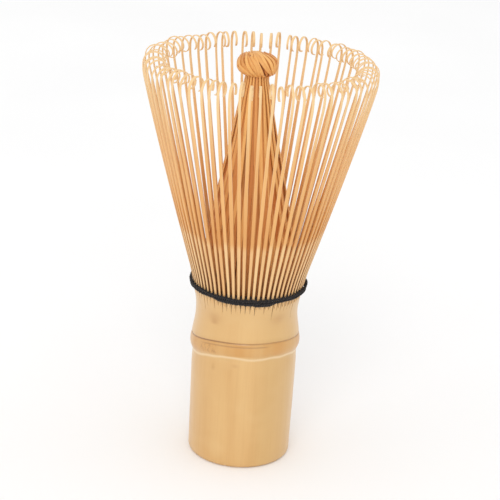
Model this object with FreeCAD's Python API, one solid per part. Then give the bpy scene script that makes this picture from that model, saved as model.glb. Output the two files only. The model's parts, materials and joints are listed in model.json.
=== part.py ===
import FreeCAD, Part
import math
import os

# Bamboo tea whisk: one bamboo stem, split above its grip into an outer ring of springy tines and an inner
# bundle of finer ones, with one cotton thread woven round the roots of the outer tines.
# Millimetres, +Z up, origin at the centre of the foot. Radial profiles are (height, radius).

# Handle
FOOT_RADIUS = 13.35
FOOT_ROUNDING = 1.0
HANDLE_TOP = 44.6
NODE_PROFILE = [
    (26.4, 13.58), (28.3, 13.46), (29.8, 14.0), (31.5, 14.2), (33.2, 13.8),
    (35.2, 13.72), (37.4, 13.35), (39.8, 13.06), (42.4, 13.24), (HANDLE_TOP, 13.78),
]
LOWER_BORE_RADIUS = 9.2
SEPTUM_BOTTOM = 29.0
SEPTUM_TOP = 32.6
UPPER_BORE_RADIUS = 9.8
TOP_BORE_RADIUS = 11.7

# Outer tines
TINE_COUNT = 72
TINES_PER_SECTOR = 3
FIRST_TINE_ANGLE = 1.2
TINE_ROOT = (13.45, 44.9)
TINE_ROOT_HEADING = 9.5
TINE_ROOT_WIDTH = 0.8
TINE_TIP_WIDTH = 0.55
TINE_ROOT_THICKNESS = 0.7
TINE_TIP_THICKNESS = 0.26
TINE_LEAN = 0.3

# A tine's side view as arcs: length, and turn towards the whisk's axis in degrees
TINE_ARCS = [(8.5, -7.3), (30.0, 1.2), (18.2, 1.3), (3.6, 14.3)]
STEPS_PER_ARC = 4
ARCH_RADIUS = 2.7
ARCH_TURN = 150.0
TIP_CURL_RADIUS = 1.5
CURL_TURNS = [225.0, 275.0, 245.0, 290.0, 205.0]

# Inner tines: the line of the outermost layer, and how far the next layers lie inside it
INNER_LINE = [(HANDLE_TOP, 12.45), (55.0, 11.5), (65.0, 9.95), (75.0, 7.95), (86.0, 5.75), (97.5, 4.0)]
INNER_LAYERS = 3
INNER_LAYER_STEP = 0.45
INNER_LAYERS_PART_BELOW = 78.0
INNER_ROOT_WIDTH = 0.62
INNER_TIP_WIDTH = 0.5
INNER_THICKNESS = 0.3
INNER_LEAN = -1.0

# Knot of the inner tines' tips
KNOT_PROFILE = [(97.8, 3.5), (99.6, 3.4), (103.4, 5.0), (106.2, 3.1)]
KNOT_TOP = 107.2

# Thread: each outer turn is pressed to a flat back with a rounded front
THREAD_HEIGHT = 47.2
TURN_HEIGHT = 0.8
TURN_DEPTH = 0.5
TURN_FLAT_DEPTH = 0.2
WINDING_INSIDE = 14.65
WEAVE_INSIDE = 12.86
WEAVE_THICKNESS = 0.28
CROSSING_THICKNESS = 0.24

AXIS = FreeCAD.Vector(0, 0, 1)
ORIGIN = FreeCAD.Vector(0, 0, 0)


def point(radius, height):
    return FreeCAD.Vector(radius, 0, height)


def spline(points, start_tangent=None, end_tangent=None):
    curve = Part.BSplineCurve()
    if start_tangent is None:
        curve.interpolate(points)
    else:
        curve.interpolate(Points=points, InitialTangent=start_tangent, FinalTangent=end_tangent)
    return curve.toShape()


def outline(edges):
    return Part.Face(Part.Wire(Part.__sortEdges__(edges)))


def polygon(points):
    return Part.Face(Part.makePolygon(points + [points[0]]))


def revolve(face):
    return face.revolve(ORIGIN, AXIS, 360)


def export(shape, node):
    shape.exportStep(os.path.join("parts", node + ".step"))


def make_handle():
    """The grip: hollow below the joint's inner wall, and hollow again above it."""
    skin = [point(radius, height) for height, radius in NODE_PROFILE]
    bottom_corner = point(FOOT_RADIUS - FOOT_ROUNDING, 0)
    rounding_end = point(FOOT_RADIUS, FOOT_ROUNDING)
    bend = FOOT_ROUNDING * math.sqrt(0.5)
    rounding_middle = point(FOOT_RADIUS - FOOT_ROUNDING + bend, FOOT_ROUNDING - bend)
    edges = [
        Part.makeLine(ORIGIN, bottom_corner),
        Part.Arc(bottom_corner, rounding_middle, rounding_end).toShape(),
        Part.makeLine(rounding_end, skin[0]),
        spline(skin),
        Part.makeLine(skin[-1], point(0, HANDLE_TOP)),
        Part.makeLine(point(0, HANDLE_TOP), ORIGIN),
    ]
    stem = revolve(outline(edges))
    lower_bore = Part.makeCylinder(LOWER_BORE_RADIUS, SEPTUM_BOTTOM)
    upper_bore = Part.makeCone(
        UPPER_BORE_RADIUS, TOP_BORE_RADIUS, HANDLE_TOP - SEPTUM_TOP, point(0, SEPTUM_TOP)
    )
    return stem.cut(lower_bore).cut(upper_bore)


def walk(start, heading, arcs):
    """Follows arcs in the side view and returns (radius, height, heading, length so far) along them."""
    radius, height = start
    length = 0.0
    places = [(radius, height, heading, length)]
    for arc_length, turn in arcs:
        step = arc_length / STEPS_PER_ARC
        for _ in range(STEPS_PER_ARC):
            middle_heading = math.radians(heading - turn / STEPS_PER_ARC / 2)
            radius += step * math.sin(middle_heading)
            height += step * math.cos(middle_heading)
            heading -= turn / STEPS_PER_ARC
            length += step
            places.append((radius, height, heading, length))
    return places


def side_view(places, crook_start, root_thickness, tip_thickness):
    """The side view of a tine that follows a line of places and thins towards its tip.

    Each long edge is two curves that meet, in line, where the crook starts.
    """
    total = places[-1][3]
    outer = []
    inner = []
    tangents = []
    for radius, height, heading, length in places:
        half = (root_thickness + (tip_thickness - root_thickness) * length / total) / 2
        turned = math.radians(heading)
        across = FreeCAD.Vector(math.cos(turned), 0, -math.sin(turned))
        outer.append(point(radius, height) + across * half)
        inner.append(point(radius, height) - across * half)
        tangents.append(FreeCAD.Vector(math.sin(turned), 0, math.cos(turned)))
    edges = [Part.makeLine(outer[-1], inner[-1]), Part.makeLine(inner[0], outer[0])]
    for side in (outer, inner):
        edges.append(spline(side[:crook_start + 1], tangents[0], tangents[crook_start]))
        edges.append(spline(side[crook_start:], tangents[crook_start], tangents[-1]))
    return outline(edges)


def strip(side, root_width, tip_width):
    """A thin strip: its side view pushed out sideways, and narrowed by its front view."""
    bounds = side.BoundBox
    side.translate(FreeCAD.Vector(0, -root_width, 0))
    slab = side.extrude(FreeCAD.Vector(0, 2 * root_width, 0))
    back = bounds.XMin - 1
    front = polygon([
        FreeCAD.Vector(back, -root_width / 2, bounds.ZMin),
        FreeCAD.Vector(back, root_width / 2, bounds.ZMin),
        FreeCAD.Vector(back, tip_width / 2, bounds.ZMax),
        FreeCAD.Vector(back, -tip_width / 2, bounds.ZMax),
    ])
    return slab.common(front.extrude(FreeCAD.Vector(bounds.XLength + 2, 0, 0))).Solids[0]


def make_outer_tine(curl_turn):
    """One outer tine, rising from the thread and curling inwards at its tip."""
    arch = (ARCH_RADIUS * math.radians(ARCH_TURN), ARCH_TURN)
    tip_turn = curl_turn - ARCH_TURN
    tip = (TIP_CURL_RADIUS * math.radians(tip_turn), tip_turn)
    places = walk(TINE_ROOT, TINE_ROOT_HEADING, TINE_ARCS + [arch, tip])
    crook_start = STEPS_PER_ARC * (len(TINE_ARCS) - 1)
    side = side_view(places, crook_start, TINE_ROOT_THICKNESS, TINE_TIP_THICKNESS)
    return strip(side, TINE_ROOT_WIDTH, TINE_TIP_WIDTH)


def make_inner_tine(layer):
    """One inner tine, from the handle's top to the neck of the knot."""
    outer = []
    inner = []
    for height, radius in INNER_LINE:
        parted = min(1.0, (height - HANDLE_TOP) / (INNER_LAYERS_PART_BELOW - HANDLE_TOP))
        middle = radius - layer * INNER_LAYER_STEP * parted
        outer.append(point(middle + INNER_THICKNESS / 2, height))
        inner.append(point(middle - INNER_THICKNESS / 2, height))
    side = outline([
        spline(outer),
        Part.makeLine(outer[-1], inner[-1]),
        spline(inner),
        Part.makeLine(inner[0], outer[0]),
    ])
    return strip(side, INNER_ROOT_WIDTH, INNER_TIP_WIDTH)


def uneven(index):
    """A repeatable number from -1 to 1, for the hand-made spread of the tines."""
    return math.sin(2.4 * index) * math.cos(0.7 * index + 1.0)


def make_outer_sector(sector, curls):
    tines = []
    for place in range(TINES_PER_SECTOR):
        index = sector * TINES_PER_SECTOR + place
        tine = curls[(index * 3 + sector) % len(curls)].copy()
        tine.rotate(point(*TINE_ROOT), FreeCAD.Vector(1, 0, 0), TINE_LEAN * uneven(index))
        tine.rotate(ORIGIN, AXIS, FIRST_TINE_ANGLE + index * 360.0 / TINE_COUNT)
        tines.append(tine)
    return Part.makeCompound(tines)


def make_inner_sector(sector, layers):
    """One tine of each layer. The whole inner bundle leans slightly, as hand-split bamboo does."""
    tines = []
    for place in range(INNER_LAYERS):
        angle = FIRST_TINE_ANGLE + (sector * INNER_LAYERS + place) * 360.0 / TINE_COUNT
        turned = math.radians(angle)
        height, radius = INNER_LINE[0]
        root = FreeCAD.Vector(radius * math.cos(turned), radius * math.sin(turned), height)
        tine = layers[place].copy()
        tine.rotate(ORIGIN, AXIS, angle)
        tine.rotate(root, FreeCAD.Vector(0, 1, 0), INNER_LEAN)
        tines.append(tine)
    return Part.makeCompound(tines)


def make_knot():
    """The turban of wound tips that closes the inner bundle."""
    skin = [point(radius, height) for height, radius in KNOT_PROFILE]
    edges = [
        Part.makeLine(point(0, KNOT_PROFILE[0][0]), skin[0]),
        spline(skin + [point(0, KNOT_TOP)]),
        Part.makeLine(point(0, KNOT_TOP), point(0, KNOT_PROFILE[0][0])),
    ]
    knot = revolve(outline(edges))
    knot.rotate(point(0, HANDLE_TOP), FreeCAD.Vector(0, 1, 0), INNER_LEAN)
    return knot


def make_thread():
    """The thread: two turns pressed together outside the outer tines, one behind them, and a crossing
    through every gap."""
    half = TURN_HEIGHT / 2
    low = THREAD_HEIGHT - TURN_HEIGHT
    high = THREAD_HEIGHT + TURN_HEIGHT
    middle = WINDING_INSIDE + TURN_FLAT_DEPTH
    outside = WINDING_INSIDE + TURN_DEPTH
    turns = outline([
        Part.makeLine(point(WINDING_INSIDE, high), point(WINDING_INSIDE, low)),
        Part.makeLine(point(WINDING_INSIDE, low), point(middle, low)),
        Part.Arc(point(middle, low), point(outside, low + half), point(middle, THREAD_HEIGHT)).toShape(),
        Part.Arc(point(middle, THREAD_HEIGHT), point(outside, high - half), point(middle, high)).toShape(),
        Part.makeLine(point(middle, high), point(WINDING_INSIDE, high)),
    ])
    weave_low = THREAD_HEIGHT - WEAVE_THICKNESS / 2
    weave = Part.makeCylinder(WEAVE_INSIDE + WEAVE_THICKNESS, WEAVE_THICKNESS, point(0, weave_low))
    weave = weave.cut(Part.makeCylinder(WEAVE_INSIDE, WEAVE_THICKNESS, point(0, weave_low)))
    crossings = []
    for gap in range(TINE_COUNT):
        start = FreeCAD.Vector(
            WEAVE_INSIDE + WEAVE_THICKNESS / 2,
            -CROSSING_THICKNESS / 2,
            THREAD_HEIGHT - CROSSING_THICKNESS / 2,
        )
        length = WINDING_INSIDE + TURN_FLAT_DEPTH / 2 - start.x
        crossing = Part.makeBox(length, CROSSING_THICKNESS, CROSSING_THICKNESS, start)
        crossing.rotate(ORIGIN, AXIS, FIRST_TINE_ANGLE + (gap + 0.5) * 360.0 / TINE_COUNT)
        crossings.append(crossing)
    return revolve(turns).multiFuse([weave] + crossings)


def main():
    os.makedirs("parts", exist_ok=True)
    export(make_handle(), "bamboo_handle")
    export(make_thread(), "binding_thread")
    export(make_knot(), "inner_knot")
    curls = [make_outer_tine(turn) for turn in CURL_TURNS]
    layers = [make_inner_tine(layer) for layer in range(INNER_LAYERS)]
    for sector in range(TINE_COUNT // TINES_PER_SECTOR):
        export(make_outer_sector(sector, curls), f"outer_tines_{sector + 1:02d}")
        export(make_inner_sector(sector, layers), f"inner_tines_{sector + 1:02d}")


main()
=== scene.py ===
import json
import math

import bpy
import numpy as np
from mathutils import Matrix, Vector


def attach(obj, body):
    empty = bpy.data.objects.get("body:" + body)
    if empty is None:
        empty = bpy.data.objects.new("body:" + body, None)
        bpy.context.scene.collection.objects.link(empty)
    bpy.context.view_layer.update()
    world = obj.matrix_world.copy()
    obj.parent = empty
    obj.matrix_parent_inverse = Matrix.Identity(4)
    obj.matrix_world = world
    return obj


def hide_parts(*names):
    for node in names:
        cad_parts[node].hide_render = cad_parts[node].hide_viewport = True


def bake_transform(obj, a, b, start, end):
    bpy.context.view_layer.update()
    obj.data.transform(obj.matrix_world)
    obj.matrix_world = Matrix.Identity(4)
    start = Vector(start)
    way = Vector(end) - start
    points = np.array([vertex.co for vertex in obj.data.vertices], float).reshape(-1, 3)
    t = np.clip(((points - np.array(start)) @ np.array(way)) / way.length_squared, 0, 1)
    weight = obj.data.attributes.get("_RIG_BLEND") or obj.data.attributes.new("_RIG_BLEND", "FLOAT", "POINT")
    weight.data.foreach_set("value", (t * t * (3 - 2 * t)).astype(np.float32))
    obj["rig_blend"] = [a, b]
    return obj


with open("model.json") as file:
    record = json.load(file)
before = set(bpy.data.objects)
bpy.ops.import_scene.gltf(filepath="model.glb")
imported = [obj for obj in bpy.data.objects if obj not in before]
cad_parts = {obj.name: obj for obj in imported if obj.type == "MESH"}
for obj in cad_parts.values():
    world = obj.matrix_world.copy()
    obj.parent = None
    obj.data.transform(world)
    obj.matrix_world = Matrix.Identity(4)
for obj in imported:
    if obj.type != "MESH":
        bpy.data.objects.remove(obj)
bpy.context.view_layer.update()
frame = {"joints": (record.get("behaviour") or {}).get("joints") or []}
MM = 0.001

# Sizes shared with the CAD source, in millimetres and degrees
TINE_COUNT = 72
TINES_PER_SECTOR = 3
SECTOR_COUNT = TINE_COUNT // TINES_PER_SECTOR
FIRST_TINE_ANGLE = 1.2
PITCH = 360.0 / TINE_COUNT
TINE_ROOT = (13.45, 44.9)
TINE_ROOT_HEADING = 9.5
# length and turn of each arc of an outer tine, from its root up to the arch
TINE_ARCS = [(8.5, -7.3), (30.0, 1.2), (18.2, 1.3), (3.6, 14.3)]
ARCH_RADIUS = 2.7
ARCH_TURN = 150.0
TIP_CURL_RADIUS = 1.5
CURL_TURNS = [225.0, 275.0, 245.0, 290.0, 205.0]
TINE_LEAN = 0.3
INNER_ROOT_HEIGHT = 44.6
INNER_LAYERS_PART_BELOW = 78.0
INNER_LEAN = -1.0
THREAD_HEIGHT = 47.2

# Sizes of the visual model alone, in millimetres and degrees
VISUAL_INSET = 0.06                  # the drawn outer tines stand this much inside the CAD ones
OUTER_STEPS = [6, 12, 8, 5, 10, 8]   # steps in each arc of an outer tine, then in its arch and its curl
MOST_CLOSING = 0.85                  # how far the tips of two neighbouring tines may near each other
BEND_END = (0.0289, 0.1035)          # radius and height where a sector's bend ends, in metres
# height and radius of the inner tines' line, which near the knot lies up to 0.45 inside the CAD's line,
# and of the neck below the knot
INNER_LINE = [
    (INNER_ROOT_HEIGHT, 12.45), (55.0, 11.5), (65.0, 9.95), (75.0, 7.95), (86.0, 5.65), (97.5, 3.55),
]
INNER_NECK = [(99.3, 3.05), (101.0, 2.75), (103.0, 2.7)]
INNER_LAYER_STEP = 0.33              # 0.45 in the CAD
INNER_HEIGHTS = np.concatenate([np.linspace(INNER_ROOT_HEIGHT, 97.0, 30), [98.4, 99.8, 101.0, 102.2, 103.0]])
INNER_WIDTH_HEIGHTS = [INNER_ROOT_HEIGHT, 56.0, 78.0, 90.0, 98.0, 103.0]
# for each layer, the outermost first: widths at those heights, sideways sway, and mean tone, darker for the
# deeper layers: painted shade in the depth of the bundle
INNER_LAYERS = [
    ((0.68, 0.95, 1.15, 0.95, 0.58, 0.55), 0.4, 0.1),
    ((0.68, 1.7, 1.95, 1.15, 0.72, 0.7), 0.5, 0.6),
    ((0.68, 2.4, 2.5, 1.4, 0.86, 0.8), 0.5, 0.85),
]
INNER_THICKNESS = 0.28               # 0.3 in the CAD
RIDGE_TILT = 1.9                     # the joint's ridge stands this much higher at the front
RIDGE_SIDE_TILT = 0.6                # and this much higher on the right
CREASE_HEIGHT = 33.4
CREASE_WIDTH = 0.17
AROUND_RADIUS = 13.5                 # turns an angle on the grip into a length for its paint

# height and radius of the grip's skin, from the foot up to above the thread
GRIP_PROFILE = [
    (0.0, 12.35), (0.13, 12.85), (0.45, 13.2), (1.0, 13.35), (3.0, 13.36), (8.0, 13.4), (14.0, 13.46),
    (20.0, 13.52), (24.0, 13.56), (26.4, 13.53), (28.2, 13.43), (29.1, 13.52), (29.7, 13.78), (30.4, 14.04),
    (31.2, 14.17), (32.0, 14.14), (32.8, 13.98), (33.4, 13.84), (34.2, 13.76), (35.2, 13.6), (36.5, 13.38),
    (38.0, 13.16), (39.6, 13.06), (41.4, 13.12), (43.0, 13.34), (44.6, 13.66), (46.0, 13.95), (47.7, 14.2),
]
# heights of the rows of the grip's mesh: the profile's, and more on its plain parts, across the ridge
# and the crease, and beside the saw cuts
GRIP_ROWS = np.array(sorted(set(
    [h for h, _ in GRIP_PROFILE]
    + [5.5, 11.0, 17.0, 22.0, 25.2, 27.4, 28.8, 29.6, 29.9, 30.6, 31.7, 32.7]
    + [round(31.3 + 0.13 * k, 3) for k in range(35)] + [36.1, 37.2, 38.8]
    + [40.5, 42.0, 42.5, 43.5, 44.0, 44.5, 45.0, 45.5, 46.5, 47.0]
)))
# the mesh's columns beside each saw cut: place in fifths of the pitch, and role
SKIN, CUT_EDGE, CUT_BOTTOM = range(3)
SAW_COLUMNS = [
    (-1.75, SKIN), (-1.0, SKIN), (-0.5, CUT_EDGE), (-0.14, CUT_BOTTOM),
    (0.14, CUT_BOTTOM), (0.5, CUT_EDGE), (1.0, SKIN), (1.75, SKIN),
]
# small brown marks on the skin: angle, height, width in degrees, height of the mark, strength
SMUDGES = [
    (233, 39.9, 4.5, 0.5, 1.0), (236, 27.7, 2.0, 0.5, 0.8), (261, 29.0, 3.5, 0.4, 0.5),
    (233, 41.0, 9.0, 1.2, 0.55), (309, 41.4, 9.0, 1.3, 0.55), (40, 30.0, 6.0, 0.7, 0.8),
    (120, 38.0, 5.0, 0.8, 0.7), (150, 20.0, 3.0, 2.0, 0.4),
]
# height and radius of the two hollows: down the upper one to the wall inside the joint, and from
# that wall down the lower one to the foot
UPPER_HOLLOW = [
    (47.7, 13.3), (46.6, 12.95), (44.6, 12.62), (44.58, 11.7), (40.0, 10.95), (36.0, 10.35), (33.4, 9.93),
    (32.75, 9.3), (32.6, 8.3), (32.45, 4.5), (32.6, 0.6),
]
LOWER_HOLLOW = [
    (29.0, 0.6), (28.9, 4.5), (29.0, 8.2), (28.7, 9.0), (27.9, 9.2), (20.0, 9.22), (10.0, 9.2), (1.0, 9.2),
    (0.25, 9.28), (0.0, 9.5), (0.0, 10.6), (0.0, 11.6),
]
RAW_WOOD = 0.75                      # how much of the cut wood's paint the hollows and the foot take

KNOT_CENTRE = np.array([-1.0, 0.0, 104.1])
KNOT_RADII = np.array([4.85, 4.45, 2.62])
KNOT_SQUARENESS = 2.35
# the strips of the knot run round it from its upper left to its lower right
KNOT_ACROSS = np.array([0.957, 0.1088, 0.269])
KNOT_FRONT = np.array([0.0, -0.927, 0.375])
KNOT_ALONG = np.array([0.29, -0.356, -0.888])
KNOT_PAINT_HEIGHT = 90.0             # the height that the knot's strips give to the tines' paint
KNOT_CORE_LIFT = -0.075              # the closed core lies this share of the radius below the strips
# how far each strip lies across the knot, from its lower left side to its upper right side
UPPER_STRIPS = [-0.95, -0.78, -0.61, -0.44, -0.28, -0.12, 0.05, 0.22, 0.39, 0.57, 0.75, 0.92]
LOWER_STRIPS = [-0.85, -0.68, -0.51, -0.36, 0.34, 0.5, 0.67, 0.84]
# where two neighbouring strips part: a long crease right of the middle and a small hole upper left.
# For a strip's offset: how far it goes aside, and the turns where that starts, is full, falls and ends
PARTINGS = {
    0.05: (-0.05, -32.0, 14.0, 60.0, 90.0),
    0.22: (0.07, -32.0, 14.0, 60.0, 90.0),
    -0.28: (-0.1, -62.0, -50.0, -46.0, -34.0),
    -0.12: (0.1, -62.0, -50.0, -46.0, -34.0),
}

WINDING_RADIUS = 14.72               # of the thread's middle, outside the tines
INNER_WINDING_RADIUS = 13.25         # and inside them
THREAD_START = 282.0                 # where the two outer turns start and end, in degrees
STEPS_PER_DEGREE = 3
TURN_STEPS = 360 * STEPS_PER_DEGREE
LOOSE_END_START = 237.0
LOOSE_END_SWEEP = 60.5
LOOSE_END_STEPS = 200
INNER_STEPS_PER_TINE = 12
TURN_STRAND = 0.39                   # radii of the thread
END_STRAND = 0.4
INNER_STRAND = 0.2
PLIES = 2

FLOOR_SIZE = 2.4                     # metres
FLOOR_STEPS = 12
FLOOR_HEIGHT = -0.02                 # millimetres, just below the foot

# the camera, in metres
CAMERA_PLACE = Vector((0.0, -0.3775, 0.1977))
CAMERA_TARGET = Vector((-0.00005, 0.0, 0.0556))
CAMERA_ROLL = 0.0616
CAMERA_LENS = 113.95


def rng(seed):
    return np.random.default_rng(seed)


def uneven(index):
    """The hand-made spread of the tines, the same number as in the CAD source."""
    return math.sin(2.4 * index) * math.cos(0.7 * index + 1.0)


def smooth(x, low, high):
    """0 below low, 1 above high, and an even curve between them."""
    t = np.clip((x - low) / (high - low), 0.0, 1.0)
    return t * t * (3 - 2 * t)


def polar(radius, a, height):
    """The point at a radius and an angle, in radians, about the whisk's axis."""
    return radius * math.cos(a), radius * math.sin(a), height


def gap_angle(gap):
    """The middle of the gap after a tine, in degrees."""
    return FIRST_TINE_ANGLE + (gap + 0.5) * PITCH


def tine_wave(degrees):
    """1 at the middle of each tine and -1 at the middle of each gap."""
    return math.cos(math.radians((degrees - FIRST_TINE_ANGLE) / PITCH * 360.0))


def path_length(points):
    """How far along the path each of its points is."""
    return np.concatenate([[0.0], np.cumsum(np.linalg.norm(np.diff(points, axis=0), axis=1))])


def path_tangents(points):
    """The path's direction at each of its points."""
    tangents = np.gradient(points, axis=0)
    return tangents / np.linalg.norm(tangents, axis=1)[:, None]


def make_mesh(name, vertices, faces, attributes=None):
    """A mesh object from vertices in millimetres, with float attributes on its points."""
    mesh = bpy.data.meshes.new(name)
    mesh.from_pydata([tuple(v) for v in np.asarray(vertices) * MM], [], [tuple(f) for f in faces])
    for key, values in (attributes or {}).items():
        layer = mesh.attributes.new(key, "FLOAT", "POINT")
        layer.data.foreach_set("value", np.asarray(values, np.float32))
    mesh.polygons.foreach_set("use_smooth", [True] * len(mesh.polygons))
    mesh.update()
    obj = bpy.data.objects.new(name, mesh)
    bpy.context.scene.collection.objects.link(obj)
    return obj


class Builder:
    """Collects several closed tubes into one mesh."""

    def __init__(self):
        self.vertices = []
        self.faces = []
        self.attributes = {}
        self.count = 0

    def tube(self, rings, attributes):
        """rings is (n, m, 3): n cross-sections of m points. Each attribute is (n,) or (n, m)."""
        rings = np.asarray(rings, float)
        n, m, _ = rings.shape
        base = self.count
        self.vertices.append(rings.reshape(-1, 3))
        for i in range(n - 1):
            for j in range(m):
                k = (j + 1) % m
                a = base + i * m
                self.faces.append((a + j, a + k, a + m + k, a + m + j))
        self.faces.append(tuple(base + j for j in reversed(range(m))))
        self.faces.append(tuple(base + (n - 1) * m + j for j in range(m)))
        for key, values in attributes.items():
            values = np.asarray(values, float)
            if values.ndim == 1:
                values = np.repeat(values[:, None], m, axis=1)
            self.attributes.setdefault(key, []).append(values.reshape(-1))
        self.count += n * m

    def make(self, name, sharp_angle=None):
        """The mesh object, shaded smooth except across edges sharper than the angle in degrees."""
        attributes = {k: np.concatenate(v) for k, v in self.attributes.items()}
        obj = make_mesh(name, np.concatenate(self.vertices), self.faces, attributes)
        if sharp_angle is not None:
            obj.data.set_sharp_from_angle(angle=math.radians(sharp_angle))
        return obj


class Paint:
    """A small wrapper for building a procedural material."""

    def __init__(self, name):
        self.material = bpy.data.materials.new(name)
        self.material.use_nodes = True
        self.tree = self.material.node_tree
        self.tree.nodes.clear()
        self.output = self.tree.nodes.new("ShaderNodeOutputMaterial")
        self.shader = self.tree.nodes.new("ShaderNodeBsdfPrincipled")
        self.link(self.shader.outputs[0], self.output.inputs["Surface"])
        self.coordinates = self.tree.nodes.new("ShaderNodeTexCoord").outputs["Object"]

    def link(self, a, b):
        self.tree.links.new(a, b)

    def put(self, value, socket):
        """Links a socket's output, or sets a plain value."""
        if isinstance(value, bpy.types.NodeSocket):
            self.link(value, socket)
        else:
            socket.default_value = value

    def attribute(self, name):
        node = self.tree.nodes.new("ShaderNodeAttribute")
        node.attribute_name = name
        return node.outputs["Fac"]

    def math(self, operation, a, b):
        node = self.tree.nodes.new("ShaderNodeMath")
        node.operation = operation
        self.put(a, node.inputs[0])
        self.put(b, node.inputs[1])
        return node.outputs[0]

    def times(self, a, b):
        return self.math("MULTIPLY", a, b)

    def scaled(self, factors):
        """The object's own coordinates, each times a factor."""
        node = self.tree.nodes.new("ShaderNodeVectorMath")
        node.operation = "MULTIPLY"
        self.link(self.coordinates, node.inputs[0])
        node.inputs[1].default_value = factors
        return node.outputs[0]

    def combine(self, x, y, z):
        node = self.tree.nodes.new("ShaderNodeCombineXYZ")
        for value, socket in zip((x, y, z), node.inputs):
            self.put(value, socket)
        return node.outputs[0]

    def noise(self, vector, scale=1.0, detail=2.0, rough=0.5):
        node = self.tree.nodes.new("ShaderNodeTexNoise")
        self.link(vector, node.inputs["Vector"])
        node.inputs["Scale"].default_value = scale
        node.inputs["Detail"].default_value = detail
        node.inputs["Roughness"].default_value = rough
        return node.outputs["Fac"]

    def between(self, value, low, high, to_low=0.0, to_high=1.0):
        """to_low where the value is below low, to_high where it is above high."""
        node = self.tree.nodes.new("ShaderNodeMapRange")
        node.interpolation_type = "SMOOTHSTEP"
        self.put(value, node.inputs["Value"])
        node.inputs["From Min"].default_value = low
        node.inputs["From Max"].default_value = high
        node.inputs["To Min"].default_value = to_low
        node.inputs["To Max"].default_value = to_high
        return node.outputs["Result"]

    def band(self, value, rises, full, falls, ends):
        """1 where the value lies between full and falls, fading to 0 outside them."""
        return self.times(self.between(value, rises, full), self.between(value, falls, ends, 1.0, 0.0))

    def mix(self, factor, a, b):
        node = self.tree.nodes.new("ShaderNodeMix")
        node.data_type = "RGBA"
        self.put(factor, node.inputs[0])
        self.put(a if isinstance(a, bpy.types.NodeSocket) else colour(a), node.inputs[6])
        self.put(b if isinstance(b, bpy.types.NodeSocket) else colour(b), node.inputs[7])
        return node.outputs[2]

    def bump(self, height, strength, distance):
        node = self.tree.nodes.new("ShaderNodeBump")
        node.inputs["Strength"].default_value = strength
        node.inputs["Distance"].default_value = distance
        self.link(height, node.inputs["Height"])
        self.link(node.outputs[0], self.shader.inputs["Normal"])


def colour(rgb):
    """An 8-bit display colour as the linear value that a shader takes."""
    out = []
    for channel in rgb:
        c = channel / 255.0
        out.append(c / 12.92 if c <= 0.04045 else ((c + 0.055) / 1.055) ** 2.4)
    return (*out, 1.0)


def grip_material():
    """Dry bamboo skin: satin, with fine lengthwise fibres, faint blotches and stains at the joint."""
    p = Paint("bamboo_skin")
    height = p.attribute("height")
    around = p.attribute("around")
    fine = p.noise(p.combine(p.times(around, 1.6), p.times(height, 0.05), 3.0), 1.0, 4.0, 0.65)
    broad = p.noise(p.combine(p.times(around, 0.16), p.times(height, 0.02), 9.0), 1.0, 2.0, 0.5)
    blotch = p.noise(p.combine(p.times(around, 0.09), p.times(height, 0.11), 1.0), 1.0, 2.0, 0.5)
    base = p.mix(p.between(broad, 0.3, 0.7), (220, 177, 113), (212, 165, 100))
    base = p.mix(p.between(fine, 0.35, 0.75, 0.0, 0.22), base, (199, 149, 86))
    base = p.mix(p.between(blotch, 0.45, 0.72, 0.0, 0.5), base, (224, 185, 124))
    # the two flanks are painted darker: painted shade, where the round grip turns away from the light
    right_flank_shade = p.band(around, 65.0, 71.0, 78.0, 83.0)
    base = p.mix(p.times(right_flank_shade, 0.6), base, (205, 164, 99))
    left_flank_shade = p.band(around, 44.0, 50.0, 54.0, 60.0)
    base = p.mix(p.times(left_flank_shade, 0.35), base, (208, 160, 94))
    # the band of the joint is warmer
    level = p.attribute("level")
    warm = p.band(level, 29.4, 30.3, 33.2, 33.8)
    patchy = p.between(p.noise(p.combine(p.times(around, 0.2), 0.0, 2.0), 1.0, 1.0), 0.35, 0.65, 0.35, 0.85)
    base = p.mix(p.times(warm, patchy), base, (205, 147, 70))
    # with a pale, wavy line along its lower edge, which is a painted highlight, and the darker crease above
    wave = p.noise(p.combine(p.times(around, 0.11), 0.0, 6.0), 1.0, 1.0)
    edge = p.math("ADD", level, p.between(wave, 0.3, 0.7, -0.3, 0.3))
    # painted highlight along the ridge's lower edge
    pale = p.band(edge, 28.5, 29.1, 29.2, 29.7)
    base = p.mix(p.times(pale, 0.65), base, (240, 212, 166))
    base = p.mix(p.times(p.attribute("crease"), 0.85), base, (128, 78, 40))
    # paler above the joint, and again towards the thread
    base = p.mix(p.between(level, 33.7, 35.0, 0.0, 0.4), base, (222, 180, 118))
    base = p.mix(p.between(height, 42.0, 46.0, 0.0, 0.4), base, (230, 186, 124))
    # a grainy stain at the joint, and small smudges
    grain = p.noise(p.combine(p.times(around, 2.6), p.times(height, 0.7), 5.0), 1.0, 5.0, 0.75)
    stain = p.times(p.attribute("stain"), p.between(grain, 0.5, 0.6))
    base = p.mix(p.times(stain, 0.5), base, (150, 98, 46))
    base = p.mix(p.times(p.attribute("smudge"), 0.55), base, (176, 118, 56))
    # cut end grain on the foot and the raw wood inside, and the saw cuts, painted dark brown: painted shade
    # in the slits
    dots = p.noise(p.scaled((3200.0, 3200.0, 600.0)), 1.0, 2.0, 0.5)
    cut = p.mix(p.between(dots, 0.45, 0.62), (226, 190, 138), (168, 118, 68))
    base = p.mix(p.attribute("raw"), base, cut)
    base = p.mix(p.times(p.attribute("cut"), 0.85), base, (112, 58, 18))
    p.link(base, p.shader.inputs["Base Color"])
    p.link(p.between(fine, 0.2, 0.8, 0.34, 0.5), p.shader.inputs["Roughness"])
    p.shader.inputs["Specular IOR Level"].default_value = 0.6
    p.shader.inputs["Coat Weight"].default_value = 0.55
    p.shader.inputs["Coat Roughness"].default_value = 0.3
    p.bump(fine, 0.12, 0.0001)
    return p.material


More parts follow.
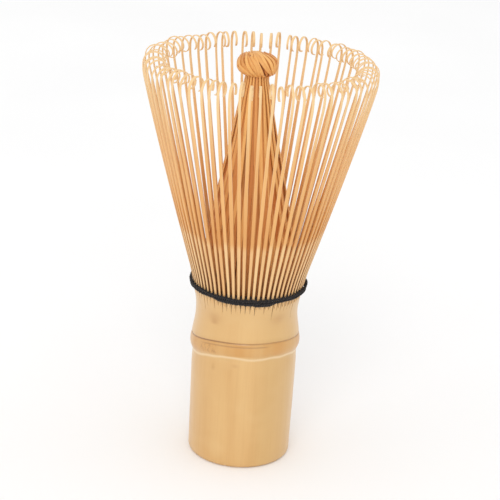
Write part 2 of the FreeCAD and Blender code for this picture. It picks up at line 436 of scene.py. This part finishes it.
def tine_material():
    """Split bamboo: pale where the skin was left near the thread, warm tan above, fibres along it."""
    p = Paint("outer_tine_bamboo")
    height = p.attribute("height")
    tone = p.attribute("tone")
    along = p.attribute("along")
    across = p.attribute("across")
    fibre = p.noise(
        p.combine(p.times(across, 4.5), p.times(along, 0.16), p.times(tone, 40.0)),
        1.0, 3.0, 0.6,
    )
    low = p.mix(tone, (240, 199, 141), (230, 178, 116))
    high = p.mix(tone, (233, 177, 109), (216, 150, 79))
    # the height of that change differs from tine to tine
    skin_end = p.math("ADD", height, p.times(p.math("SUBTRACT", tone, 0.5), 1.4))
    base = p.mix(p.between(skin_end, 61.6, 64.0), low, high)
    base = p.mix(p.between(height, 64.0, 82.0, 0.0, 0.4), base, (242, 190, 122))
    base = p.mix(p.between(height, 82.0, 103.5, 0.0, 0.82), base, (241, 209, 156))
    base = p.mix(p.between(fibre, 0.45, 0.75, 0.0, 0.25), base, (204, 142, 80))
    # the sides and the back are split wood: painted darker than the face low down, which is painted shade on
    # the tines' edges, and lighter near the tips
    side = p.attribute("side")
    base = p.mix(p.times(side, p.between(height, 58.0, 74.0, 0.6, 0.0)), base, (176, 104, 44))
    base = p.mix(p.times(side, p.between(height, 68.0, 80.0, 0.0, 0.4)), base, (247, 216, 172))
    # painted shade between the tines: just above the thread their sides are painted near black, where they
    # stand close together
    root = p.between(height, 46.0, 62.0, 0.85, 0.0)
    base = p.mix(p.times(root, side), base, (92, 44, 12))
    p.link(base, p.shader.inputs["Base Color"])
    p.link(p.between(fibre, 0.2, 0.8, 0.42, 0.6), p.shader.inputs["Roughness"])
    p.bump(fibre, 0.2, 0.00006)
    return p.material


def inner_material():
    """The inner tines and the knot: finer splits, warmer than the outer ones, painted darker in the depths:
    painted shade low in the cone, on the split sides and on the knot's core.
    """
    p = Paint("inner_tine_bamboo")
    height = p.attribute("height")
    tone = p.attribute("tone")
    along = p.attribute("along")
    across = p.attribute("across")
    fibre = p.noise(
        p.combine(p.times(across, 4.5), p.times(along, 0.14), p.times(tone, 40.0)),
        1.0, 3.0, 0.6,
    )
    base = p.mix(tone, (241, 182, 106), (198, 114, 44))
    base = p.mix(p.between(fibre, 0.42, 0.75, 0.0, 0.35), base, (188, 118, 52))
    # painted shade on the split sides
    base = p.mix(p.times(p.attribute("side"), 0.45), base, (176, 96, 36))
    # painted shade low in the cone, which stands inside the ring of outer tines
    base = p.mix(p.between(height, 46.0, 62.0, 0.55, 0.0), base, (186, 116, 54))
    # painted shade where the knot's core shows between its strips
    base = p.mix(p.times(p.attribute("painted_shade"), 0.9), base, (158, 74, 22))
    p.link(base, p.shader.inputs["Base Color"])
    p.link(p.between(fibre, 0.2, 0.8, 0.42, 0.6), p.shader.inputs["Roughness"])
    p.bump(fibre, 0.2, 0.00006)
    return p.material


def thread_material():
    """Dark cotton: matt, a little lighter where the twist stands up."""
    p = Paint("thread_cotton")
    fuzz = p.noise(p.scaled((9000.0, 9000.0, 9000.0)), 1.0, 3.0, 0.7)
    base = p.mix(p.between(fuzz, 0.35, 0.7), (17, 13, 14), (40, 32, 33))
    p.link(base, p.shader.inputs["Base Color"])
    p.shader.inputs["Roughness"].default_value = 0.85
    p.shader.inputs["Sheen Weight"].default_value = 0.12
    p.bump(fuzz, 0.4, 0.00006)
    return p.material


# The grip


def profile_radius(height):
    heights, radii = zip(*GRIP_PROFILE)
    return float(np.interp(height, heights, radii))


def ridge_shift(angle, height):
    """The joint is tilted: its ridge stands higher at the front than at the back."""
    a = math.radians(angle)
    lift = -RIDGE_TILT * math.sin(a) + RIDGE_SIDE_TILT * math.cos(a)
    lift += 0.14 * math.sin(3 * a + 0.7) + 0.1 * math.sin(5 * a)
    return lift * smooth(height, 23.0, 29.0) * (1 - smooth(height, 36.5, 43.0))


def grip_columns():
    """The mesh's columns as (angle, role, gap), and the height where each gap's saw cut ends."""
    noise = rng(11)
    columns = []
    cut_ends = []
    for gap in range(TINE_COUNT):
        cut_end = 43.9 + 0.55 * noise.standard_normal()
        if noise.random() < 0.12:
            cut_end -= 1.4
        cut_ends.append(cut_end)
        for offset, role in SAW_COLUMNS:
            columns.append((gap_angle(gap) + offset * PITCH / 5.0, role, gap))
    return sorted(columns, key=lambda column: column[0]), cut_ends


def hollow_rings(profile, columns, seed):
    """The rings of one hollow, whose long wall is not quite round."""
    phase = rng(seed).random() * 6.0
    rings = np.zeros((len(profile), len(columns), 3))
    for i, (height, radius) in enumerate(profile):
        swing = 0.06 if 1.0 < radius < 11.0 and height > 1.0 else 0.0
        for j, (angle, _, _) in enumerate(columns):
            a = math.radians(angle)
            rings[i, j] = polar(radius + swing * math.sin(3 * a + phase), a, height)
    return rings


def make_grip():
    """The bamboo grip, with its joint, the saw cuts between the tine roots, and both hollows."""
    columns, cut_ends = grip_columns()
    skin = np.zeros((len(GRIP_ROWS), len(columns), 3))
    fields = {key: np.zeros(skin.shape[:2]) for key in ("level", "crease", "stain", "smudge", "cut")}
    for j, (angle, role, gap) in enumerate(columns):
        a = math.radians(angle)
        degrees = angle % 360
        wobble = 0.05 * math.sin(a * 2 + 0.6) + 0.03 * math.sin(a * 5 + 2.0)
        second_crease = smooth(degrees, 215, 230) * (1 - smooth(degrees, 290, 300))
        stained = smooth(degrees, 214, 222) * (1 - smooth(degrees, 238, 244))
        for i, height in enumerate(GRIP_ROWS):
            level = height - ridge_shift(angle, height)
            line = math.exp(-((level - CREASE_HEIGHT) / CREASE_WIDTH) ** 2)
            second = math.exp(-((level - CREASE_HEIGHT + 0.85) / CREASE_WIDTH) ** 2) * second_crease
            radius = profile_radius(level) + wobble * smooth(height, 4.0, 12.0) - 0.16 * line - 0.07 * second
            fields["level"][i, j] = level
            fields["crease"][i, j] = min(1.0, line * (0.75 + 0.25 * math.sin(2 * a)) + 0.5 * second)
            # the cut field is painted shade: it paints the saw cuts dark, fully at their depth and faintly on
            # their edges
            cut_end = cut_ends[gap]
            in_cut = role != SKIN and height > cut_end - 0.4
            depth = smooth(height, cut_end - 0.2, cut_end + 0.5)
            if in_cut and role == CUT_EDGE:
                # the two edges draw together, so that the cut ends in a point
                closing = (1 - smooth(height, cut_end, 46.2)) * 0.7
                middle = math.radians(gap_angle(gap))
                skin[i, j] = polar(radius, middle + (a - middle) * (1 - closing), height)
                fields["cut"][i, j] = 0.12 * depth
                continue
            if in_cut:
                radius -= 0.9 * depth
                fields["cut"][i, j] = depth
            skin[i, j] = polar(radius, a, height)
            fields["stain"][i, j] = stained * smooth(level, 29.6, 30.6) * (1 - smooth(level, 31.9, 32.8))
            fields["smudge"][i, j] = sum(
                strength * math.exp(-((degrees - at) / wide) ** 2 - ((height - where) / tall) ** 2)
                for at, where, wide, tall, strength in SMUDGES)
    # one closed skin: down the lower hollow to the foot, up the outside, and down the upper hollow
    upper = hollow_rings(UPPER_HOLLOW, columns, 3)
    lower = hollow_rings(LOWER_HOLLOW, columns, 4)
    rings = np.concatenate([lower, skin, upper])
    hollows = ((len(lower), len(upper)), (0, 0))
    around = np.radians([angle for angle, _, _ in columns]) * AROUND_RADIUS
    attributes = {key: np.pad(values, hollows) for key, values in fields.items()}
    attributes["height"] = rings[:, :, 2]
    attributes["around"] = np.tile(around, (len(rings), 1))
    attributes["raw"] = np.pad(np.zeros(skin.shape[:2]), hollows, constant_values=RAW_WOOD)
    builder = Builder()
    builder.tube(rings, attributes)
    grip = builder.make("grip", 50)
    grip.data.materials.append(grip_material())
    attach(grip, "handle")
    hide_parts("bamboo_handle")


# The tines


def walk(start, heading, arcs, steps):
    """The same line as the CAD tine's, with each of its steps divided more finely."""
    radius, height = start
    length = 0.0
    places = [(radius, height, heading, length)]
    for (arc_length, turn), count in zip(arcs, steps):
        step = arc_length / count
        for _ in range(count):
            middle = math.radians(heading - turn / count / 2)
            radius += step * math.sin(middle)
            height += step * math.cos(middle)
            heading -= turn / count
            length += step
            places.append((radius, height, heading, length))
    return np.array(places)


# a strip's cross-section, as shares of half its width and half its thickness
SECTION = [
    (-1.0, -0.7), (-0.7, -1.0), (0.7, -1.0), (1.0, -0.7), (1.0, 0.7), (0.7, 1.0), (-0.7, 1.0), (-1.0, 0.7),
]


def rotated(points, axis, origin, degrees):
    """The points turned about an axis through the origin given."""
    turn = np.array(Matrix.Rotation(math.radians(degrees), 3, Vector(axis)))
    origin = np.array(origin, float)
    return (points - origin) @ turn.T + origin


def strip_rings(places, widths, thicknesses, twist, bow):
    """Rounded rectangles along a line in the XZ plane: x is radius, z is height, y is sideways.

    The bow moves them sideways, and the twist turns them about the line.
    """
    rings = []
    for index, (radius, height, heading, _) in enumerate(places):
        h = math.radians(heading)
        t = math.radians(twist[index])
        across = np.array([math.cos(h), 0.0, -math.sin(h)])
        side = np.array([0.0, 1.0, 0.0])
        across, side = across * math.cos(t) + side * math.sin(t), side * math.cos(t) - across * math.sin(t)
        centre = np.array([radius, bow[index], height])
        rings.append([
            centre + side * u * widths[index] / 2 + across * v * thicknesses[index] / 2 for u, v in SECTION
        ])
    return np.array(rings)


def side_share(count):
    """1 on a strip's split sides, less on its back, 0 on its face."""
    share = np.array([1.0 if abs(u) == 1.0 else (0.35 if v < 0 else 0.0) for u, v in SECTION])
    return np.repeat(share[None, :], count, axis=0)


def across_width(count, width):
    """Where each point of a strip stands across its width, in millimetres."""
    return np.repeat(np.array([u * width / 2 for u, _ in SECTION])[None, :], count, axis=0)


def sideways_offsets():
    """How far each tine's tip stands to one side, so that they bunch and part, but never cross."""
    noise = rng(31)
    offsets = np.clip(0.42 * noise.standard_normal(TINE_COUNT), -0.75, 0.75)
    for _ in range(6):
        for i in range(TINE_COUNT):
            j = (i + 1) % TINE_COUNT
            close = offsets[i] - offsets[j] - MOST_CLOSING
            if close > 0:
                offsets[i] -= close / 2
                offsets[j] += close / 2
    return offsets


def outer_tine(builder, index, curl_turn, offset, noise):
    """One outer tine, made in the XZ plane and then turned to its place in the ring."""
    arch = (ARCH_RADIUS * math.radians(ARCH_TURN), ARCH_TURN)
    tip_turn = curl_turn - ARCH_TURN
    tip = (TIP_CURL_RADIUS * math.radians(tip_turn), tip_turn)
    # the chances of its length, its width, its bow, and the turn of its curl
    jitter = noise.standard_normal(4)
    arcs = list(TINE_ARCS)
    azimuth = math.radians(FIRST_TINE_ANGLE + index * PITCH)
    arcs[2] = (arcs[2][0] + 0.25 * jitter[0] + 0.22 * math.sin(azimuth), arcs[2][1])
    places = walk(TINE_ROOT, TINE_ROOT_HEADING, arcs + [arch, tip], OUTER_STEPS)
    length = places[:, 3]
    share = length / length[-1]
    height = places[:, 1]
    places[:, 0] -= VISUAL_INSET * smooth(height, 60.0, 90.0)
    # finer where the saw cuts start, widest above the thread, and finer and thinner again to the tip
    widths = np.interp(length, [0.0, 1.2, 2.4, 8.0, 16.0, 30.0, 56.0, length[-1]],
                       [0.42, 0.54, 0.68, 0.8, 0.9, 0.88, 0.6, 0.56])
    widths = widths * (1 + 0.07 * jitter[1])
    widths[-1] *= 0.8
    thick = np.interp(length, [0.0, 2.0, 20.0, 50.0, 60.0, length[-1]], [0.7, 0.7, 0.55, 0.42, 0.26, 0.2])
    rise = np.clip((height - 50.0) / 53.0, 0.0, 1.0)
    bow = offset * rise ** 1.5 + 0.1 * np.clip(jitter[2], -1.2, 1.2) * np.sin(np.pi * rise)
    bow = bow + 0.12 * np.clip(jitter[3], -1.3, 1.3) * smooth(share, 0.85, 1.0)
    twist = 7.0 * jitter[3] * smooth(share, 0.55, 1.0)
    rings = strip_rings(places, widths, thick, twist, bow)
    n = len(places)
    rings = rotated(rings, (1, 0, 0), (TINE_ROOT[0], 0, TINE_ROOT[1]), TINE_LEAN * uneven(index))
    rings = rotated(rings, (0, 0, 1), (0, 0, 0), FIRST_TINE_ANGLE + index * PITCH)
    tone = float(np.clip(0.45 + 0.28 * noise.standard_normal(), 0.0, 1.0))
    builder.tube(rings, {
        "height": height,
        "along": length,
        "tone": np.full(n, tone),
        "across": across_width(n, 0.9),
        "side": side_share(n),
    })


def sector_ends(body):
    """Where the bend of a sector starts and ends: from its hinge up to the arches."""
    joint = next(j for j in frame["joints"] if j["child"] == body)
    start = Vector(joint["pos_m"])
    out = Vector((start.x, start.y, 0)).normalized()
    radius, height = BEND_END
    return start, Vector((out.x * radius, out.y * radius, height))


def make_outer_tines(material):
    """The ring of outer tines: each sector bends from the grip to its own body."""
    offsets = sideways_offsets()
    for sector in range(SECTOR_COUNT):
        number = f"{sector + 1:02d}"
        builder = Builder()
        for place in range(TINES_PER_SECTOR):
            index = sector * TINES_PER_SECTOR + place
            curl = CURL_TURNS[(index * 3 + sector) % len(CURL_TURNS)]
            outer_tine(builder, index, curl, offsets[index], rng(500 + index))
        piece = builder.make("outer_tines_look_" + number, 55)
        piece.data.materials.append(material)
        start, end = sector_ends("outer_sector_" + number)
        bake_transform(piece, "handle", "outer_sector_" + number, start=start, end=end)
        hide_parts("outer_tines_" + number)


def inner_radius(height, layer):
    """The bundle's radius. Its layers part above the root, each further in than the one before."""
    line = np.array(INNER_LINE + INNER_NECK)
    radius = np.interp(height, line[:, 0], line[:, 1])
    parted = np.minimum(1.0, (height - INNER_ROOT_HEIGHT) / (INNER_LAYERS_PART_BELOW - INNER_ROOT_HEIGHT))
    return radius - layer * INNER_LAYER_STEP * parted


def lean(points):
    """The bundle leans a little towards -X, each tine from its own root."""
    turn = math.radians(INNER_LEAN)
    out = np.array(points, float)
    rise = out[..., 2] - INNER_ROOT_HEIGHT
    out[..., 0] += math.sin(turn) * rise
    return out


def inner_tine(builder, index, layer):
    """One inner tine, from its root to inside the knot. The hidden layers are wider, and close the bundle."""
    noise = rng(900 + index)
    # the chances of its radius, its width, its two bows and its twist
    jitter = noise.standard_normal(5)
    profile, sway, mean_tone = INNER_LAYERS[layer]
    heights = INNER_HEIGHTS
    n = len(heights)
    share = np.clip((heights - INNER_ROOT_HEIGHT) / 53.0, 0.0, 1.0)
    radii = inner_radius(heights, layer)
    heading = np.degrees(np.arctan2(np.gradient(radii), np.gradient(heights)))
    radii = radii + 0.12 * jitter[0] * np.sin(np.pi * share)
    places = np.stack([radii, heights, heading, heights - INNER_ROOT_HEIGHT], axis=1)
    widths = np.interp(heights, INNER_WIDTH_HEIGHTS, profile)
    widths = widths * (1 + 0.1 * np.clip(jitter[1], -1.5, 1.5))
    bow = sway * jitter[2] * np.sin(np.pi * share) + 0.25 * jitter[3] * np.sin(2 * np.pi * share)
    bow = bow * np.interp(heights, [INNER_ROOT_HEIGHT, 75.0, 98.0], [0.5, 1.0, 0.4])
    rings = strip_rings(places, widths, np.full(n, INNER_THICKNESS), 10.0 * jitter[4] * share, bow)
    rings = rotated(rings, (0, 0, 1), (0, 0, 0), FIRST_TINE_ANGLE + index * PITCH)
    tone = float(np.clip(mean_tone + 0.24 * noise.standard_normal(), 0.0, 1.0))
    builder.tube(lean(rings), {
        "height": heights,
        "along": heights,
        "tone": np.full(n, tone),
        "across": across_width(n, 0.8),
        "side": side_share(n),
        "painted_shade": np.zeros(n),
    })


def make_inner_tines(material):
    """The cone of inner tines, which twists between the grip and the knot."""
    for sector in range(SECTOR_COUNT):
        number = f"{sector + 1:02d}"
        builder = Builder()
        for layer in range(TINES_PER_SECTOR):
            inner_tine(builder, sector * TINES_PER_SECTOR + layer, layer)
        piece = builder.make("inner_tines_look_" + number, 55)
        piece.data.materials.append(material)
        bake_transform(piece, "handle", "inner_knot", start=(0, 0, 0.0446), end=(-0.0009, 0, 0.0975))
        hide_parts("inner_tines_" + number)


# The knot


def surface_ring(centre, tangent, normal, width, thick):
    """A strip's cross-section at a point, its face turned towards the normal."""
    binormal = np.cross(tangent, normal)
    binormal /= np.linalg.norm(binormal)
    return [centre + binormal * u * width / 2 + normal * v * thick / 2 for u, v in SECTION]


def ribbon(builder, points, widths, thick, tone):
    """A flat strip that lies on the knot: its face looks away from the knot's middle."""
    points = np.asarray(points, float)
    n = len(points)
    tangents = path_tangents(points)
    rings = []
    for i in range(n):
        away = points[i] - KNOT_CENTRE
        away -= tangents[i] * (away @ tangents[i])
        away /= np.linalg.norm(away)
        rings.append(surface_ring(points[i], tangents[i], away, widths[i], thick))
    builder.tube(np.array(rings), {
        "height": np.full(n, KNOT_PAINT_HEIGHT),
        "along": path_length(points),
        "tone": np.full(n, tone),
        "across": across_width(n, 1.0),
        "side": side_share(n),
        "painted_shade": np.zeros(n),
    })


def knot_point(direction, lift):
    """A point on the knot's skin, which is a little squarer than an ellipsoid."""
    d = direction / np.linalg.norm(direction)
    d = d / np.sum(np.abs(d) ** KNOT_SQUARENESS) ** (1 / KNOT_SQUARENESS)
    return KNOT_CENTRE + KNOT_RADII * d * (1 + lift)


def knot_strip(builder, offset, lift, width, tone, seed, parting=None, slant=0.0):
    """One strip, wound once round the knot.

    The strips spread at its front and its back, and draw together between them.
    """
    noise = rng(seed)
    wobble = 0.03 * noise.standard_normal(2)
    turns = np.radians(np.linspace(-178.0, 178.0, 45))
    points = []
    widths = []
    for a in turns:
        gather = 0.62 + 0.38 * math.cos(a) ** 2
        x = offset * gather + wobble[0] * math.sin(2 * a) + wobble[1] * math.sin(3 * a + 1.0)
        if parting:
            aside, opens, open_at, closes, closed_at = parting
            turn = math.degrees(a)
            x += aside * smooth(turn, opens, open_at) * (1 - smooth(turn, closes, closed_at))
        x += slant * math.sin(a)
        x = max(-0.97, min(0.97, x))
        ring = math.sqrt(1 - x * x)
        direction = KNOT_ACROSS * x + ring * (KNOT_FRONT * math.cos(a) + KNOT_ALONG * math.sin(a))
        tuck = 0.12 * smooth(abs(math.degrees(a)), 160.0, 178.0)
        points.append(knot_point(direction, lift - tuck))
        widths.append(width * (0.72 + 0.28 * math.cos(a) ** 2) * min(1.0, 0.35 + ring))
    ribbon(builder, points, widths, 0.42, tone)


def knot_core(builder):
    """A closed core just behind the strips, running down inside the neck. It is painted darker, most at its
    front: painted shade where it shows through the crease and the hole between the strips.
    """
    core = []
    painted_shade = []
    around = np.linspace(0, 2 * math.pi, 33)[:-1]
    for polar_angle in np.radians(np.linspace(4.0, 152.0, 16)):
        ring = []
        for a in around:
            x, y, _ = polar(math.sin(polar_angle), a, 0.0)
            ring.append(knot_point(np.array([x, y, math.cos(polar_angle)]), KNOT_CORE_LIFT))
        core.append(ring)
        # painted shade, most on the front, where the crease and the hole open onto the core
        painted_shade.append([0.55 if math.sin(a) < -0.3 else 0.1 for a in around])
    for height, radius in ((101.2, 1.9), (99.4, 1.8), (93.0, 2.2)):
        core.append([(KNOT_CENTRE[0] + radius * math.cos(a), radius * math.sin(a), height) for a in around])
        painted_shade.append([0.3] * len(around))
    core = np.array(core)
    n = len(core)
    builder.tube(core, {
        "height": np.full(n, KNOT_PAINT_HEIGHT),
        "along": core[:, 0, 2],
        "tone": np.full(n, 0.8),
        "across": np.zeros(n),
        "side": np.full(n, 0.5),
        "painted_shade": np.array(painted_shade),
    })


def make_knot(material):
    """The tips are bent over and wound round each other into a turban."""
    builder = Builder()
    noise = rng(77)
    knot_core(builder)
    for k, offset in enumerate(UPPER_STRIPS):
        tone = float(np.clip(0.12 + 0.12 * noise.standard_normal(), 0, 1))
        # those right of the crease lie over the others and slant more
        over = 0.2 < offset < 0.8
        lift = 0.035 + 0.018 * (k % 2) + (0.02 if over else 0.0)
        knot_strip(builder, offset, lift, 0.95, tone, 200 + k, PARTINGS.get(offset), 0.1 if over else 0.0)
    # the lower strips, beneath the seams of the upper ones, take a darker tone: painted shade between the
    # upper strips
    for k, offset in enumerate(LOWER_STRIPS):
        tone = float(np.clip(0.55 + 0.12 * noise.standard_normal(), 0, 1))
        knot_strip(builder, offset, -0.02, 0.85, tone, 300 + k)
    # short strips that close the two sides of the knot
    turns = np.radians(np.linspace(-44, 44, 16))
    for sign in (-1, 1):
        for k in range(7):
            points = []
            for b in turns:
                direction = KNOT_ACROSS * math.cos(b) * sign + KNOT_ALONG * math.sin(b)
                points.append(knot_point(direction + KNOT_FRONT * 0.16 * (k - 3), 0.012 * (k % 2)))
            ribbon(builder, points, np.full(len(turns), 0.85), 0.4, 0.2 + 0.08 * (k % 3))
    knot = builder.make("knot_look", 55)
    knot.data.materials.append(material)
    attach(knot, "inner_knot")
    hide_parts("inner_knot")


# The thread


def twisted_strand(builder, path, radius, seed, pitch=1.15):
    """A thread of two plies twisted together along a path."""
    path = np.asarray(path, float)
    tangents = path_tangents(path)
    length = path_length(path)
    # hand-tied, so a little uneven
    swell = 1 + 0.09 * np.sin(0.9 * length + seed) + 0.06 * np.sin(2.3 * length + 2.0 * seed)
    for ply in range(PLIES):
        rings = []
        for i in range(len(path)):
            t = tangents[i]
            up = np.array([0.0, 0.0, 1.0]) if abs(t[2]) < 0.9 else np.array([1.0, 0.0, 0.0])
            side = np.cross(t, up)
            side /= np.linalg.norm(side)
            up = np.cross(side, t)
            phase = 2 * math.pi * length[i] / pitch + ply * 2 * math.pi / PLIES
            centre = path[i] + (side * math.cos(phase) + up * math.sin(phase)) * radius * 0.42
            ply_radius = radius * 0.62 * swell[i]
            rings.append([
                centre + (side * math.cos(b) + up * math.sin(b)) * ply_radius
                for b in np.linspace(0, 2 * math.pi, 7)[:-1]
            ])
        builder.tube(np.array(rings), {})


def winding_radius(height):
    """Just outside the tines at that height."""
    return WINDING_RADIUS + 0.2 * (height - THREAD_HEIGHT)


def make_thread():
    """One thread: two turns outside the outer tines, one inside them, and a crossing in every gap."""
    builder = Builder()
    # two turns outside the tines, riding a little in and out over them
    for turn, rise in enumerate((-0.33, 0.35)):
        path = []
        for k in range(TURN_STEPS + 1):
            degrees = THREAD_START + k / STEPS_PER_DEGREE
            a = math.radians(degrees)
            # the first turn climbs as it starts, and the two draw together where they end
            drop = 0.0 if turn else -0.3 * (1 - smooth(k, 0, 40))
            tail = smooth(k, TURN_STEPS - 20, TURN_STEPS)
            h = THREAD_HEIGHT + rise + drop - (0.25 * tail if turn else -0.2 * tail)
            h += 0.07 * math.sin(5 * a + turn) + 0.06 * math.sin(13 * a + 2.0 * turn)
            path.append(polar(winding_radius(h) + 0.05 * tine_wave(degrees), a, h))
        twisted_strand(builder, path, TURN_STRAND, turn)
    # the loose end of the thread, laid just below the two turns
    path = []
    for k in range(LOOSE_END_STEPS + 1):
        degrees = LOOSE_END_START + k * LOOSE_END_SWEEP / LOOSE_END_STEPS
        a = math.radians(degrees)
        h = THREAD_HEIGHT - 0.7 - 0.2 * smooth(k, 130, 142) + 0.4 * smooth(k, 184, LOOSE_END_STEPS)
        h += 0.3 * (1 - smooth(k, 0, 16))
        path.append(polar(winding_radius(h) + 0.02, a, h))
    twisted_strand(builder, path, END_STRAND, 4)
    # the turn inside the outer tines, with a dip through every gap
    path = []
    for k in range(TINE_COUNT * INNER_STEPS_PER_TINE + 1):
        degrees = FIRST_TINE_ANGLE + k * PITCH / INNER_STEPS_PER_TINE
        a = math.radians(degrees)
        wave = tine_wave(degrees)
        radius = INNER_WINDING_RADIUS + 0.25 * (1 - wave) / 2
        path.append(polar(radius, a, THREAD_HEIGHT + 0.75 + 0.12 * wave))
    twisted_strand(builder, path, INNER_STRAND, 6, 0.8)
    # crossings through the gaps, from the inner turn to the outer ones
    for gap in range(TINE_COUNT):
        a = math.radians(gap_angle(gap))
        path = []
        for t in np.linspace(0, 1, 9):
            h = THREAD_HEIGHT + 0.95 - 0.25 * t + 0.12 * math.sin(math.pi * t)
            path.append(polar(INNER_WINDING_RADIUS + 0.1 + 1.25 * t, a, h))
        twisted_strand(builder, path, INNER_STRAND, 8, 0.8)
    thread = builder.make("thread_look")
    thread.data.materials.append(thread_material())
    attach(thread, "handle")
    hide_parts("binding_thread")


# Floor, light and camera


def make_floor():
    """A plain pale floor, just below the foot."""
    row = FLOOR_STEPS + 1
    at = [(i / FLOOR_STEPS - 0.5) * FLOOR_SIZE / MM for i in range(row)]
    points = [(x, y, FLOOR_HEIGHT) for x in at for y in at]
    corners = [i * row + j for i in range(FLOOR_STEPS) for j in range(FLOOR_STEPS)]
    faces = [(a, a + row, a + row + 1, a + 1) for a in corners]
    floor = make_mesh("floor", points, faces)
    p = Paint("pale_floor")
    cloud = p.noise(p.scaled((6.0, 6.0, 6.0)), 1.0, 2.0, 0.5)
    p.link(p.mix(p.between(cloud, 0.3, 0.7), (250, 250, 250), (253, 253, 253)), p.shader.inputs["Base Color"])
    p.shader.inputs["Roughness"].default_value = 0.9
    p.shader.inputs["Specular IOR Level"].default_value = 0.1
    floor.data.materials.append(p.material)


def area_light(name, location, target, size, power):
    """A soft round light, aimed at the target."""
    data = bpy.data.lights.new(name, "AREA")
    data.shape = "DISK"
    data.size = size
    data.energy = power
    light = bpy.data.objects.new(name, data)
    light.location = location
    light.rotation_euler = (Vector(target) - Vector(location)).to_track_quat("-Z", "Y").to_euler()
    bpy.context.scene.collection.objects.link(light)


def make_light():
    """A bright, even studio, with one soft light in front."""
    world = bpy.data.worlds.new("studio")
    world.use_nodes = True
    background = world.node_tree.nodes["Background"]
    background.inputs["Color"].default_value = (1.0, 1.0, 1.0, 1.0)
    background.inputs["Strength"].default_value = 0.92
    bpy.context.scene.world = world
    area_light("front", (-0.3, -2.2, 2.0), (0, 0, 0.05), 1.6, 20.0)


def make_camera():
    """The camera looks down at the whisk a little, with a slight roll."""
    data = bpy.data.cameras.new("camera")
    data.sensor_width = 36.0
    data.lens = CAMERA_LENS
    data.clip_start = 0.01
    data.clip_end = 10.0
    camera = bpy.data.objects.new("camera", data)
    forward = (CAMERA_TARGET - CAMERA_PLACE).normalized()
    right = forward.cross(Vector((0, 0, 1))).normalized()
    up = right.cross(forward)
    right_rolled = right * math.cos(CAMERA_ROLL) + up * math.sin(CAMERA_ROLL)
    up_rolled = up * math.cos(CAMERA_ROLL) - right * math.sin(CAMERA_ROLL)
    turn = Matrix((right_rolled, up_rolled, -forward)).transposed()
    camera.matrix_world = Matrix.Translation(CAMERA_PLACE) @ turn.to_4x4()
    bpy.context.scene.collection.objects.link(camera)
    bpy.context.scene.camera = camera


make_grip()
make_outer_tines(tine_material())
inner = inner_material()
make_inner_tines(inner)
make_knot(inner)
make_thread()
make_floor()
make_light()
make_camera()
bpy.context.scene.view_settings.view_transform = "Standard"
bpy.context.scene.view_settings.look = "None"
